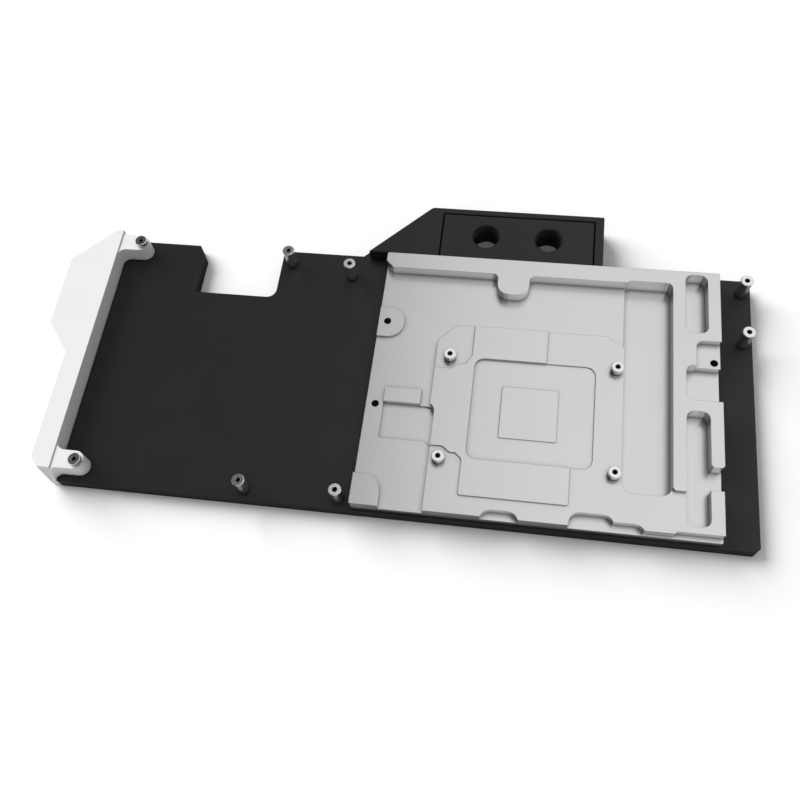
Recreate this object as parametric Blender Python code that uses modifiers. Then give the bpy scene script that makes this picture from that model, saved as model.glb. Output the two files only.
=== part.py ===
"""Full-cover water block for a graphics card, lying on its outer face with the contact side up.

Lengths are in metres and +Z is up. The origin is on the bottom face, under the centre of the chip contact.
+X runs towards the bracket end of the card, +Y towards the coolant ports.
"""
import math

import bmesh
import bpy
from mathutils import Matrix, Vector

# Fits
SEAT_GAP = 0.0003
OVERSHOOT = 0.010
ZONE_MARGIN = 0.001

# Body plate
BODY_THICKNESS = 0.0060
BODY_LEFT = -0.1935
BODY_RIGHT = 0.0913
BODY_FRONT = -0.0462
BODY_BACK = 0.0759
BODY_CORNER = 0.0016
NOTCH_LEFT = -0.1557
NOTCH_WIDTH = 0.0378
NOTCH_DEPTH = 0.0253
NOTCH_LEAD_X = 0.0032
NOTCH_LEAD_Y = 0.0054
NOTCH_FILLET = 0.0042
NOTCH_SMALL_FILLET = 0.0010

# Cold plate outline and levels
PLATE_LEFT = -0.0679
PLATE_RIGHT = 0.0766
PLATE_FRONT_INSET = 0.0009
PLATE_BACK_INSET = 0.0028
LOW_HEIGHT = 0.0033
MAIN_HEIGHT = 0.0071
TOP_HEIGHT = 0.0087
MEMORY_STEP = 0.0007
CHIP_RECESS_DEPTH = 0.0005
CHIP_CONTACT_STEP = 0.0004
LEFT_PAD_STEP = 0.0012
RIGHT_PAD_HEIGHT = 0.0055
SMALL_PAD_STEP = 0.0014
LEFT_POCKET_DEPTH = 0.0010
DEEP_FLOOR = 0.0010
SLOT_FLOOR = 0.0021

# Cold plate areas, from the chip centre
BAR_DEPTH = 0.0076
BAR_END_CHAMFER = 0.0033
LOBE_CENTRE_X = -0.0108
LOBE_WIDTH = 0.0138
LOBE_REACH = 0.0101
LOBE_FILLET = 0.0024
CORE_LEFT = -0.0406
CORE_LEFT_FRONT = -0.0386
CORE_STEP_Y = -0.0020
CORE_STEP_RISE = 0.0012
CORE_BACK = 0.0389
CORE_CHAMFER_LEFT = 0.0076
CORE_CHAMFER_RIGHT = 0.0068
CORE_CHAMFER_DEPTH = 0.0051
PAD_WIDTH = 0.0114
PAD_RADIUS = 0.0070
LEFT_PAD_FRONT = 0.0325
LEFT_PAD_BACK = 0.0470
CORNER_PAD_DEPTH = 0.0131
SMALL_PAD_LEFT = -0.0606
SMALL_PAD_RIGHT = -0.0451
SMALL_PAD_FRONT = 0.0015
SMALL_PAD_BACK = 0.0082
LEFT_POCKET_FRONT = -0.0147
LEFT_POCKET_STEP = 0.0004
LEFT_POCKET_RUNOUT = 0.0028
LEFT_POCKET_RADIUS = 0.0036
CHIP_CONTACT_X = 0.0231
CHIP_CONTACT_Y = 0.0230
CHIP_CONTACT_RADIUS = 0.0005
RECESS_LEFT = -0.0240
RECESS_RIGHT = 0.0262
RECESS_FRONT = -0.0220
RECESS_BACK = 0.0236
RECESS_RADIUS = 0.0040
MEMORY_SIDE_HALF = 0.0176
MEMORY_INLET = 0.0200
MEMORY_INLET_X = -0.0305
MEMORY_INLET_END_X = -0.0280
MEMORY_INLET_SLOPE = 0.0031
MEMORY_INLET_FRONT = 0.0025
MEMORY_INLET_BACK = 0.0045
MEMORY_FRONT = -0.0376
MEMORY_FRONT_LEFT = -0.0253
MEMORY_FRONT_RIGHT = 0.0175
MEMORY_BACK_RIGHT = 0.0057
MEMORY_RADIUS = 0.0008
MEMORY_TURN = 0.0015
DEEP_LEFT = 0.0375
DEEP_RIGHT = 0.0570
DEEP_FRONT = -0.0299
DEEP_BACK = 0.0666
DEEP_RADIUS = 0.0045
DEEP_BACK_RADIUS = 0.0024
RIGHT_BAR_FRONT = -0.0275
BAR_CORNER = 0.0009
SLOT_LEFT = 0.0622
SLOT_RIGHT = 0.0715
SLOT_RADIUS = 0.0031
BACK_SLOT_FRONT = 0.0430
BACK_SLOT_BACK = 0.0716
FRONT_SLOT_FRONT = -0.0407
FRONT_SLOT_BACK = 0.0070
SIDE_DOOR_FRONT = -0.0256
SIDE_DOOR_BACK = -0.0166
RIGHT_PAD_LEFT = 0.0664
RIGHT_PAD_FRONT = 0.0282
RIGHT_PAD_BACK = 0.0395
SIDE_POCKET_FRONT = 0.0118
SIDE_POCKET_BACK = 0.0278
SCALLOP_LEFT = -0.0163
SCALLOP_WIDTH = 0.0154
SCALLOP_DEPTH = 0.0031
SCALLOP_RADIUS = 0.0045
LEDGE_LEFT = 0.0180
LEDGE_DEEP_END = 0.0356
LEDGE_MIDDLE_END = 0.0475
LEDGE_SHALLOW_END = 0.0588
LEDGE_DEEP = 0.0056
LEDGE_MIDDLE = 0.0031
LEDGE_SHALLOW = 0.0009
LEDGE_RIGHT = 0.0019
LEDGE_RIGHT_SLOPE = 0.0008
LEDGE_DEEP_RADIUS = 0.0045

# Fins on the coolant side of the cold plate
FIN_SLOTS = 22
FIN_PITCH = 0.0022
FIN_SLOT_WIDTH = 0.0011
FIN_SLOT_DEPTH = 0.0035
FIN_LENGTH = 0.0360

# Coolant chamber, jet plate, gasket and passages
CHAMBER_X = 0.0580
CHAMBER_Y = 0.0440
CHAMBER_LEDGE = 0.0030
CHAMBER_RADIUS = 0.0040
JET_SEAT_DEPTH = 0.0012
JET_THICKNESS = 0.0007
JET_SLOT_X = 0.0400
JET_SLOT_Y = 0.0030
CHAMBER_DEPTH = 0.0034
GASKET_MARGIN = 0.0030
GASKET_WIDTH = 0.0011
GASKET_HEIGHT = 0.0009
PASSAGE_RADIUS = 0.0015
PASSAGE_LEVEL = 0.0028

# Terminal with the two coolant ports
TERMINAL_HEIGHT = 0.0061
TERMINAL_LEFT = -0.0449
TERMINAL_RIGHT = 0.0230
TERMINAL_DEPTH = 0.0232
TERMINAL_OVERLAP = 0.0011
SHROUD_GAP = 0.0005
SHROUD_SIDE = 0.0039
SHROUD_REAR = 0.0028
WING_REACH = 0.0324
WING_TIP = 0.0006
TONGUE_MARGIN = 0.0042
EDGE_CHAMFER = 0.0003
PORT_SPACING = 0.0281
PORT_FROM_FRONT = 0.0121
PORT_BORE = 0.0118
PORT_MOUTH = 0.0131
SEAL_RADIUS = 0.0079
SEAL_CORD = 0.0012

# End cover
COVER_HEIGHT = 0.0149
COVER_TAB_DROP = 0.0005
COVER_NARROW = 0.0093
COVER_WIDE = 0.0208
COVER_WIDE_FRONT = 0.0243
COVER_NARROW_BACK = 0.0103
COVER_BACK_FLAT = 0.0031
COVER_FRONT_FLAT = 0.0031
COVER_FRONT_CHAMFER = 0.0066
COVER_FRONT_SLOPE = 0.0025
COVER_RADIUS = 0.0016
TAB_WIDTH = 0.0081
TAB_REACH = 0.0029
TAB_SHIFT = 0.0004
TAB_FILLET = 0.0038

# Standoffs
STANDOFF_RADIUS = 0.0027
STANDOFF_NECK = 0.00245
STANDOFF_HOLE = 0.0011
STANDOFF_HOLE_DEPTH = 0.0030
STUD_RADIUS = 0.0015
STUD_LENGTH = 0.0025
SHORT_STANDOFF = 0.0036
COVER_COLLAR = 0.0023
CHIP_HOLES_X = 0.0692
CHIP_HOLES_Y = 0.0462
STANDOFF_RIM = 0.0002
STANDOFF_RING = 0.0010

# Standoff places, measured from the edge or piece beside them
NOTCH_STANDOFF = 0.0049
LEFT_STANDOFF_X = 0.0162
LEFT_STANDOFF_BACK = 0.0114
FRONT_STANDOFF_X = 0.0056
STANDOFF_FRONT = 0.0047
STANDOFF_BACK = 0.0067
RIGHT_STANDOFF_X = 0.0040
RIGHT_STANDOFF_BACK = 0.0318
COVER_STANDOFF_X = 0.0103
COVER_STANDOFF_FRONT = 0.0067
COVER_STANDOFF_BACK = 0.0066

# Screws
SCREW_HEAD_RADIUS = 0.0024
SCREW_HEAD_HEIGHT = 0.0015
SCREW_SINK = 0.0002
SCREW_RADIUS = 0.00125
SCREW_GRIP = 0.0020
SOCKET_RADIUS = 0.0012
SOCKET_DEPTH = 0.0009
CARD_HOLE_RADIUS = 0.0016

# Screw and card hole places
PLATE_SCREW_FRONT = 0.0053
PLATE_SCREW_BACK = 0.0034
PLATE_SCREW_RIGHT = 0.0026
PLATE_SCREW_LEFT = 0.0060
FRONT_SCREW_ROW = (-0.0310, 0.0, 0.0270)
BACK_SCREW_ROW = (0.0200, -0.0360)
DEEP_SCREW_FRONT = 0.0040
DEEP_SCREW_BACK = 0.0110
SLOT_SCREW_FRONT = 0.0090
SLOT_SCREW_BACK = 0.0120
CORE_SCREW_X = 0.0100
CORE_SCREW_Y = 0.0200
TERMINAL_SCREW = 0.0045
COVER_SCREW_X = 0.0042
SHROUD_SCREW_LEFT = 0.0169
SHROUD_SCREW_FRONT = 0.0065
SHROUD_SCREW_INNER = 0.0062
SHROUD_SCREW_BACK = 0.0090
LEFT_HOLE_X = 0.0039
LEFT_PAD_HOLE_Y = 0.0075
SMALL_PAD_HOLE_Y = 0.0010
RIGHT_HOLE_X = 0.0025
RIGHT_HOLE_Y = 0.0027

ROUND_SIDES = 12
BORE_SIDES = 28
ARC_STEP = math.radians(22)

# Share of a side that one fillet may use, beside another fillet and beside a plain corner
SHARED_SIDE = 0.49
FREE_SIDE = 0.98

# Levels that follow from the sizes above
PLATE_BOTTOM = BODY_THICKNESS + SEAT_GAP
PLATE_LOW = PLATE_BOTTOM + LOW_HEIGHT
PLATE_MAIN = PLATE_BOTTOM + MAIN_HEIGHT
PLATE_TOP = PLATE_BOTTOM + TOP_HEIGHT
PLATE_FRONT = BODY_FRONT + PLATE_FRONT_INSET
PLATE_BACK = BODY_BACK - PLATE_BACK_INSET
BAR_FRONT = PLATE_BACK - BAR_DEPTH
CARD_LEVEL = PLATE_MAIN + SHORT_STANDOFF
TERMINAL_FRONT = BODY_BACK - TERMINAL_OVERLAP
TERMINAL_BOTTOM = BODY_THICKNESS + SEAT_GAP
TERMINAL_TOP = TERMINAL_BOTTOM + TERMINAL_HEIGHT
SHROUD_BACK = TERMINAL_FRONT + TERMINAL_DEPTH + SHROUD_GAP + SHROUD_REAR
SHROUD_LEFT = TERMINAL_LEFT - WING_REACH
SHROUD_RIGHT = TERMINAL_RIGHT + SHROUD_GAP + SHROUD_SIDE
COVER_INNER = BODY_LEFT - SEAT_GAP
TAB_TOP = COVER_HEIGHT - COVER_TAB_DROP


def clear_scene():
    for item in list(bpy.data.objects):
        bpy.data.objects.remove(item, do_unlink=True)


def new_collection(name, hidden=False):
    group = bpy.data.collections.new(name)
    bpy.context.scene.collection.children.link(group)
    group.hide_render = hidden
    return group


def new_material(name, colour, roughness, metallic):
    material = bpy.data.materials.new(name)
    material.use_nodes = True
    shader = material.node_tree.nodes["Principled BSDF"]
    shader.inputs["Base Color"].default_value = (*colour, 1.0)
    shader.inputs["Roughness"].default_value = roughness
    shader.inputs["Metallic"].default_value = metallic
    return material


# Outlines

def fillet_arc(before, corner, after, radius, room):
    """Points of the arc that rounds one corner and uses at most this length of its two sides."""
    to_before = (before - corner).normalized()
    to_after = (after - corner).normalized()
    half_angle = to_before.angle(to_after) / 2
    radius = min(radius, room * math.tan(half_angle))
    centre = corner + (to_before + to_after).normalized() * radius / math.sin(half_angle)
    arm = corner + to_before * radius / math.tan(half_angle) - centre
    turn = math.pi - 2 * half_angle
    if to_before.cross(to_after) > 0:
        turn = -turn
    steps = max(2, round(abs(turn) / ARC_STEP))
    return [centre + Matrix.Rotation(turn * step / steps, 2) @ arm for step in range(steps + 1)]


def rounded(corners):
    """Closed outline from (x, y) or (x, y, radius) corners."""
    places = [Vector(corner[:2]) for corner in corners]
    outline = []
    for index, corner in enumerate(corners):
        if len(corner) == 2:
            outline.append(places[index])
            continue
        following = (index + 1) % len(places)
        room = min((places[other] - places[index]).length
                   * (SHARED_SIDE if len(corners[other]) == 3 else FREE_SIDE)
                   for other in (index - 1, following))
        outline.extend(fillet_arc(places[index - 1], places[index], places[following], corner[2], room))
    return outline


def rectangle(left, right, front, back, radius=0.0):
    corners = [(left, front), (right, front), (right, back), (left, back)]
    if radius:
        corners = [(x, y, radius) for x, y in corners]
    return rounded(corners)


# Solids

def finish_mesh(mesh):
    """Weld the caps, merge flat neighbours and turn the faces outwards."""
    body = bmesh.new()
    body.from_mesh(mesh)
    bmesh.ops.remove_doubles(body, verts=body.verts, dist=0.000001)
    bmesh.ops.dissolve_limit(body, angle_limit=math.radians(0.1), verts=body.verts, edges=body.edges)
    bmesh.ops.recalc_face_normals(body, faces=body.faces)
    body.to_mesh(mesh)
    body.free()


def flat_solid(name, loops, bottom, top, group):
    """Extrude a flat outline; loops after the first are holes in it."""
    curve = bpy.data.curves.new(name, "CURVE")
    curve.dimensions = "2D"
    curve.fill_mode = "BOTH"
    curve.extrude = (top - bottom) / 2
    for loop in loops:
        spline = curve.splines.new("POLY")
        spline.points.add(len(loop) - 1)
        spline.use_cyclic_u = True
        for point, place in zip(spline.points, loop):
            point.co = (place[0], place[1], 0.0, 1.0)
    guide = bpy.data.objects.new(name + "_guide", curve)
    guide.location.z = (bottom + top) / 2
    group.objects.link(guide)
    bpy.context.view_layer.update()
    shape = guide.evaluated_get(bpy.context.evaluated_depsgraph_get())
    mesh = bpy.data.meshes.new_from_object(shape)
    finish_mesh(mesh)
    solid = bpy.data.objects.new(name, mesh)
    solid.matrix_world = guide.matrix_world.copy()
    group.objects.link(solid)
    bpy.data.objects.remove(guide, do_unlink=True)
    return solid


def turned(name, profile, group, sides=ROUND_SIDES):
    """Turn a profile about Z; it starts on the axis and runs down its outer side."""
    mesh = bpy.data.meshes.new(name)
    points = [(radius, 0.0, level) for radius, level in profile]
    mesh.from_pydata(points, [(i, i + 1) for i in range(len(points) - 1)], [])
    solid = bpy.data.objects.new(name, mesh)
    group.objects.link(solid)
    screw = solid.modifiers.new("turn", "SCREW")
    screw.steps = sides
    screw.render_steps = sides
    screw.use_merge_vertices = True
    screw.merge_threshold = 0.000001
    return solid


def bake(solid):
    """Replace an object's mesh by what its modifiers make of it."""
    bpy.context.view_layer.update()
    shape = solid.evaluated_get(bpy.context.evaluated_depsgraph_get())
    mesh = bpy.data.meshes.new_from_object(shape)
    solid.modifiers.clear()
    solid.data = mesh
    finish_mesh(mesh)
    return solid


def cylinder(name, radius, bottom, top, group, sides=ROUND_SIDES):
    mesh = bpy.data.meshes.new(name)
    body = bmesh.new()
    bmesh.ops.create_cone(body, cap_ends=True, segments=sides, radius1=radius, radius2=radius,
                          depth=top - bottom)
    body.to_mesh(mesh)
    body.free()
    solid = bpy.data.objects.new(name, mesh)
    solid.location.z = (bottom + top) / 2
    group.objects.link(solid)
    return solid


def copy_at(solid, name, x, y, group):
    twin = bpy.data.objects.new(name, solid.data)
    twin.location = (x, y, solid.location.z)
    group.objects.link(twin)
    return twin


def hide_cutter(cutter):
    cutter.display_type = "WIRE"
    cutter.hide_render = True


def combine(solid, other, operation):
    step = solid.modifiers.new(other.name, "BOOLEAN")
    step.operation = operation
    step.solver = "EXACT"
    step.object = other
    hide_cutter(other)


def cut(solid, cutter):
    combine(solid, cutter, "DIFFERENCE")


def soften(solid, width=EDGE_CHAMFER):
    bevel = solid.modifiers.new("edge", "BEVEL")
    bevel.width = width
    bevel.segments = 1
    bevel.limit_method = "ANGLE"
    bevel.angle_limit = math.radians(40)


def shade_round(solid):
    solid.data.shade_smooth()
    solid.data.set_sharp_from_angle(angle=math.radians(35))


# Places that several pieces share

def chip_holes():
    for x in (-CHIP_HOLES_X / 2, CHIP_HOLES_X / 2):
        for y in (-CHIP_HOLES_Y / 2, CHIP_HOLES_Y / 2):
            yield x, y


def tall_standoffs():
    notch_right = NOTCH_LEFT + NOTCH_WIDTH
    front = BODY_FRONT + STANDOFF_FRONT
    back = BODY_BACK - STANDOFF_BACK
    right = BODY_RIGHT - RIGHT_STANDOFF_X
    return [
        (notch_right + NOTCH_STANDOFF, back),
        (PLATE_LEFT - LEFT_STANDOFF_X, BODY_BACK - LEFT_STANDOFF_BACK),
        (notch_right + NOTCH_STANDOFF, front),
        (PLATE_LEFT - FRONT_STANDOFF_X, front),
        (right, back),
        (right, BODY_BACK - RIGHT_STANDOFF_BACK),
    ]


def cover_standoffs():
    x = BODY_LEFT + COVER_STANDOFF_X
    return [(x, BODY_BACK - COVER_STANDOFF_BACK), (x, BODY_FRONT + COVER_STANDOFF_FRONT)]


def cover_screws():
    return [(BODY_LEFT + COVER_SCREW_X, y) for x, y in cover_standoffs()]


def plate_screws():
    front = PLATE_FRONT + PLATE_SCREW_FRONT
    back = PLATE_BACK - PLATE_SCREW_BACK
    right = PLATE_RIGHT - PLATE_SCREW_RIGHT
    left = PLATE_LEFT + PLATE_SCREW_LEFT
    return [
        (left, front),
        *((x, front) for x in FRONT_SCREW_ROW),
        (DEEP_RIGHT - DEEP_SCREW_FRONT, front),
        (right, FRONT_SLOT_BACK - SLOT_SCREW_FRONT),
        (right, BACK_SLOT_FRONT + SLOT_SCREW_BACK),
        (DEEP_RIGHT - DEEP_SCREW_BACK, back),
        *((x, back) for x in BACK_SCREW_ROW),
        (LOBE_CENTRE_X, BAR_FRONT - LOBE_REACH / 2),
        (left, BAR_FRONT - PLATE_SCREW_LEFT),
        (CORE_LEFT - CORE_SCREW_X, CORE_SCREW_Y),
    ]


def port_centres():
    middle = (TERMINAL_LEFT + TERMINAL_RIGHT) / 2
    y = TERMINAL_FRONT + PORT_FROM_FRONT
    return [(middle - PORT_SPACING / 2, y), (middle + PORT_SPACING / 2, y)]


def terminal_screws():
    back = TERMINAL_FRONT + TERMINAL_DEPTH
    for x in (TERMINAL_LEFT + TERMINAL_SCREW, TERMINAL_RIGHT - TERMINAL_SCREW):
        for y in (TERMINAL_FRONT + TERMINAL_SCREW, back - TERMINAL_SCREW):
            yield x, y


def shroud_screws():
    inner = TERMINAL_LEFT - SHROUD_GAP
    return [
        (SHROUD_LEFT + SHROUD_SCREW_LEFT, TERMINAL_FRONT + SHROUD_SCREW_FRONT),
        (inner - SHROUD_SCREW_INNER, SHROUD_BACK - SHROUD_SCREW_BACK),
    ]


def card_holes():
    """Threaded holes at the plate's rim that take the card's own screws."""
    return [
        (PLATE_LEFT + LEFT_HOLE_X, LEFT_PAD_FRONT + LEFT_PAD_HOLE_Y),
        (PLATE_LEFT + LEFT_HOLE_X, SMALL_PAD_FRONT - SMALL_PAD_HOLE_Y),
        (PLATE_RIGHT - RIGHT_HOLE_X, RIGHT_PAD_FRONT + RIGHT_HOLE_Y),
    ]


# Body plate

def body_outline():
    notch_right = NOTCH_LEFT + NOTCH_WIDTH
    notch_floor = BODY_BACK - NOTCH_DEPTH
    wing_foot = SHROUD_LEFT - TONGUE_MARGIN + TERMINAL_OVERLAP
    return rounded([
        (BODY_LEFT, BODY_FRONT),
        (BODY_RIGHT - BODY_CORNER, BODY_FRONT),
        (BODY_RIGHT, BODY_FRONT + BODY_CORNER),
        (BODY_RIGHT, BODY_BACK, BODY_CORNER),
        (SHROUD_RIGHT, BODY_BACK),
        (SHROUD_RIGHT, SHROUD_BACK, BODY_CORNER),
        (wing_foot + SHROUD_BACK - BODY_BACK, SHROUD_BACK, BODY_CORNER),
        (wing_foot, BODY_BACK),
        (notch_right, BODY_BACK),
        (notch_right, notch_floor, NOTCH_FILLET),
        (NOTCH_LEFT, notch_floor, NOTCH_SMALL_FILLET),
        (NOTCH_LEFT, BODY_BACK - NOTCH_LEAD_Y),
        (NOTCH_LEFT - NOTCH_LEAD_X, BODY_BACK),
        (BODY_LEFT, BODY_BACK),
    ])


def gasket_loops(widening):
    """Outer and inner outline of the gasket, or of its groove when widened."""
    half_x = CHAMBER_X / 2 + GASKET_MARGIN
    half_y = CHAMBER_Y / 2 + GASKET_MARGIN
    loops = []
    for side in (GASKET_WIDTH / 2 + widening, -GASKET_WIDTH / 2 - widening):
        x = half_x + side
        y = half_y + side
        loops.append(rectangle(-x, x, -y, y, CHAMBER_RADIUS + GASKET_MARGIN + side))
    return loops


def make_body(parts, cutters):
    plate = flat_solid("body_plate", [body_outline()], 0.0, BODY_THICKNESS, parts)
    seat_level = BODY_THICKNESS - JET_SEAT_DEPTH
    half_x = CHAMBER_X / 2
    half_y = CHAMBER_Y / 2
    seat = rectangle(-half_x, half_x, -half_y, half_y, CHAMBER_RADIUS)
    cut(plate, flat_solid("jet_seat", [seat], seat_level, BODY_THICKNESS + OVERSHOOT, cutters))
    inner_x = half_x - CHAMBER_LEDGE
    inner_y = half_y - CHAMBER_LEDGE
    well = rectangle(-inner_x, inner_x, -inner_y, inner_y, CHAMBER_RADIUS)
    well_floor = BODY_THICKNESS - CHAMBER_DEPTH
    cut(plate, flat_solid("chamber", [well], well_floor, seat_level + JET_SEAT_DEPTH / 2, cutters))
    groove_floor = BODY_THICKNESS - GASKET_HEIGHT - SEAT_GAP
    groove = flat_solid("gasket_groove", gasket_loops(SEAT_GAP), groove_floor,
                        BODY_THICKNESS + OVERSHOOT, cutters)
    cut(plate, groove)

    for index, (x, y) in enumerate(port_centres()):
        bore = cylinder(f"body_port_{index + 1}", PORT_BORE / 2, -OVERSHOOT,
                        BODY_THICKNESS + OVERSHOOT, cutters, BORE_SIDES)
        bore.location.xy = (x, y)
        cut(plate, bore)
        passage = cylinder(f"passage_{index + 1}", PASSAGE_RADIUS, 0.0, y, cutters)
        passage.rotation_euler = (math.pi / 2, 0.0, 0.0)
        passage.location = (x, y / 2, PASSAGE_LEVEL)
        cut(plate, passage)
        inner = SEAL_RADIUS - SEAL_CORD / 2 - SEAT_GAP
        outer = SEAL_RADIUS + SEAL_CORD / 2 + SEAT_GAP
        floor = BODY_THICKNESS - SEAL_CORD - SEAT_GAP
        top = BODY_THICKNESS + OVERSHOOT
        ring = turned(f"seal_groove_{index + 1}",
                      [(inner, top), (outer, top), (outer, floor), (inner, floor), (inner, top)],
                      cutters, BORE_SIDES)
        ring.location.xy = (x, y)
        cut(plate, bake(ring))

    head_room = SCREW_SINK + SCREW_HEAD_HEIGHT + SEAT_GAP
    wide = SCREW_HEAD_RADIUS + SEAT_GAP
    narrow = SCREW_RADIUS + SEAT_GAP
    top = BODY_THICKNESS + OVERSHOOT
    profile = [(0.0, top), (narrow, top), (narrow, head_room), (wide, head_room),
               (wide, -OVERSHOOT), (0.0, -OVERSHOOT)]
    counterbore = bake(turned("counterbore", profile, cutters))
    hide_cutter(counterbore)
    places = [*plate_screws(), *terminal_screws(), *shroud_screws(), *cover_screws()]
    for index, (x, y) in enumerate(places):
        cut(plate, copy_at(counterbore, f"counterbore_{index + 1}", x, y, cutters))

    stud_floor = BODY_THICKNESS - STUD_LENGTH
    stud_hole = cylinder("stud_hole", STUD_RADIUS + SEAT_GAP, stud_floor,
                         BODY_THICKNESS + OVERSHOOT, cutters)
    hide_cutter(stud_hole)
    for index, (x, y) in enumerate([*tall_standoffs(), *cover_standoffs()]):
        cut(plate, copy_at(stud_hole, f"stud_hole_{index + 1}", x, y, cutters))
    return plate


# Cold plate

def low_area():
    """The low surface at the left and behind the chip area, round the raised pads."""
    left = PLATE_LEFT - OVERSHOOT
    front = PLATE_FRONT - OVERSHOOT
    pad_right = PLATE_LEFT + PAD_WIDTH
    lobe_left = LOBE_CENTRE_X - LOBE_WIDTH / 2
    lobe_right = LOBE_CENTRE_X + LOBE_WIDTH / 2
    lobe_front = BAR_FRONT - LOBE_REACH
    in_deep = (DEEP_LEFT + DEEP_RIGHT) / 2
    corner_back = PLATE_FRONT + CORNER_PAD_DEPTH
    return rounded([
        (left, BAR_FRONT + BAR_END_CHAMFER),
        (left, LEFT_PAD_BACK),
        (pad_right, LEFT_PAD_BACK, PAD_RADIUS),
        (pad_right, LEFT_PAD_FRONT, PAD_RADIUS),
        (left, LEFT_PAD_FRONT),
        (left, corner_back),
        (pad_right, corner_back, PAD_RADIUS),
        (pad_right, front),
        (CORE_LEFT_FRONT, front),
        (CORE_LEFT_FRONT, CORE_STEP_Y),
        (CORE_LEFT, CORE_STEP_Y + CORE_STEP_RISE),
        (CORE_LEFT, CORE_BACK - CORE_CHAMFER_LEFT),
        (CORE_LEFT + CORE_CHAMFER_LEFT, CORE_BACK),
        (DEEP_LEFT - CORE_CHAMFER_RIGHT, CORE_BACK),
        (DEEP_LEFT, CORE_BACK - CORE_CHAMFER_DEPTH),
        (in_deep, CORE_BACK - CORE_CHAMFER_DEPTH),
        (in_deep, BAR_FRONT),
        (lobe_right, BAR_FRONT, LOBE_FILLET),
        (lobe_right, lobe_front, LOBE_WIDTH / 2),
        (lobe_left, lobe_front, LOBE_WIDTH / 2),
        (lobe_left, BAR_FRONT, LOBE_FILLET),
        (PLATE_LEFT + BAR_END_CHAMFER, BAR_FRONT),
        (PLATE_LEFT, BAR_FRONT + BAR_END_CHAMFER),
    ])


def main_area():
    """Everything that is milled down to the chip level or lower, left and in front of the bars."""
    left = PLATE_LEFT - OVERSHOOT
    right = PLATE_RIGHT + OVERSHOOT
    front = PLATE_FRONT - OVERSHOOT
    in_deep = (DEEP_LEFT + DEEP_RIGHT) / 2
    in_slot = (SLOT_LEFT + SLOT_RIGHT) / 2
    in_door = (SIDE_DOOR_FRONT + SIDE_DOOR_BACK) / 2
    back = (CORE_BACK + BAR_FRONT - LOBE_REACH) / 2
    return rounded([
        (left, front),
        (right, front),
        (right, in_door),
        (in_slot, in_door),
        (in_slot, RIGHT_BAR_FRONT),
        (DEEP_RIGHT + BAR_CORNER, RIGHT_BAR_FRONT),
        (DEEP_RIGHT, RIGHT_BAR_FRONT + BAR_CORNER),
        (DEEP_RIGHT, DEEP_FRONT + DEEP_RADIUS),
        (in_deep, DEEP_FRONT + DEEP_RADIUS),
        (in_deep, back),
        (left, back),
    ])


def memory_area():
    """Raised memory contact round three sides of the chip, with inlets for two standoffs."""
    beyond = CORE_LEFT - OVERSHOOT / 2
    inside_x = RECESS_LEFT + RECESS_RADIUS * 1.5
    inside_front = RECESS_FRONT + RECESS_RADIUS
    inside_back = RECESS_BACK - RECESS_RADIUS
    slope_x = MEMORY_INLET_X - MEMORY_INLET_SLOPE
    back = CORE_BACK + BAR_CORNER
    return rounded([
        (beyond, -MEMORY_SIDE_HALF),
        (slope_x, -MEMORY_SIDE_HALF, MEMORY_TURN),
        (MEMORY_INLET_X, -MEMORY_INLET, MEMORY_TURN),
        (MEMORY_INLET_END_X, -MEMORY_INLET, MEMORY_TURN),
        (MEMORY_FRONT_LEFT, -MEMORY_INLET - MEMORY_INLET_FRONT, MEMORY_TURN),
        (MEMORY_FRONT_LEFT, MEMORY_FRONT, MEMORY_RADIUS),
        (MEMORY_FRONT_RIGHT, MEMORY_FRONT, MEMORY_RADIUS),
        (MEMORY_FRONT_RIGHT, inside_front),
        (inside_x, inside_front),
        (inside_x, inside_back),
        (MEMORY_BACK_RIGHT, inside_back),
        (MEMORY_BACK_RIGHT, back),
        (MEMORY_FRONT_LEFT, back),
        (MEMORY_FRONT_LEFT, MEMORY_INLET + MEMORY_INLET_BACK, MEMORY_TURN),
        (MEMORY_INLET_END_X, MEMORY_INLET, MEMORY_TURN),
        (MEMORY_INLET_X, MEMORY_INLET, MEMORY_TURN),
        (slope_x, MEMORY_SIDE_HALF, MEMORY_TURN),
        (beyond, MEMORY_SIDE_HALF),
    ])


def left_pocket():
    """Shallow pocket in front of the small pad, against the wall of the chip area."""
    back = SMALL_PAD_FRONT - LEFT_POCKET_STEP
    return rounded([
        (SMALL_PAD_LEFT, LEFT_POCKET_FRONT, MEMORY_RADIUS),
        (CORE_LEFT_FRONT - LEFT_POCKET_RUNOUT, LEFT_POCKET_FRONT, LEFT_POCKET_RADIUS),
        (CORE_LEFT_FRONT, LEFT_POCKET_FRONT - LEFT_POCKET_RUNOUT),
        (CORE_LEFT_FRONT, back, LEFT_POCKET_RADIUS),
        (SMALL_PAD_RIGHT, back),
        (SMALL_PAD_RIGHT, SMALL_PAD_FRONT),
        (SMALL_PAD_LEFT, SMALL_PAD_FRONT),
    ])


def front_notch(left, right, depth, radius):
    """Notch milled in from the front edge, its two inner corners as round as the cutter."""
    beyond = PLATE_FRONT - OVERSHOOT
    back = PLATE_FRONT + depth
    return rounded([(left, beyond), (right, beyond), (right, back, radius), (left, back, radius)])


def front_ledge():
    """Shallow ledge that runs on from the notches to the right end of the front edge."""
    beyond = PLATE_FRONT - OVERSHOOT
    right = PLATE_RIGHT + OVERSHOOT
    start = LEDGE_MIDDLE_END - LEDGE_DEEP_RADIUS
    return rounded([
        (start, beyond),
        (right, beyond),
        (right, PLATE_FRONT + LEDGE_RIGHT),
        (LEDGE_SHALLOW_END, PLATE_FRONT + LEDGE_RIGHT),
        (LEDGE_SHALLOW_END - LEDGE_RIGHT_SLOPE, PLATE_FRONT + LEDGE_SHALLOW),
        (start, PLATE_FRONT + LEDGE_SHALLOW),
    ])


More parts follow.
